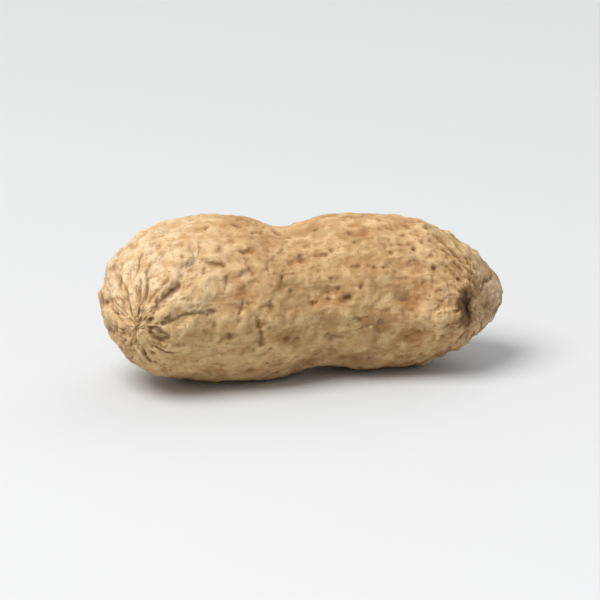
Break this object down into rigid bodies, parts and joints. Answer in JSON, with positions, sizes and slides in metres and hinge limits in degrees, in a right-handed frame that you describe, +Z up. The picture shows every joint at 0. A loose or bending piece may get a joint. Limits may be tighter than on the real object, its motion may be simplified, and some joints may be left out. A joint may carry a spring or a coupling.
{
  "type": "peanut",
  "caption": "Whole peanut in its shell: a ribbed, waisted pod with paired seed lobes, a broken stalk scar and a gentle sideways curl, lying on its belly.",
  "frame": {"origin": "on the surface the pod rests on, under the middle of the pod's box", "axes": "+Z up; +X along the pod from the apex end to the stalk end; both ends curl towards -Y"},
  "size_m": [0.0408, 0.0176, 0.0165],
  "materials": {
    "dry_shell": "matte dry shell, mottled tan with darker pits and paler veins"
  },
  "bodies": {
    "root": {"peanut_pod": "dry_shell"}
  },
  "joints": []
}
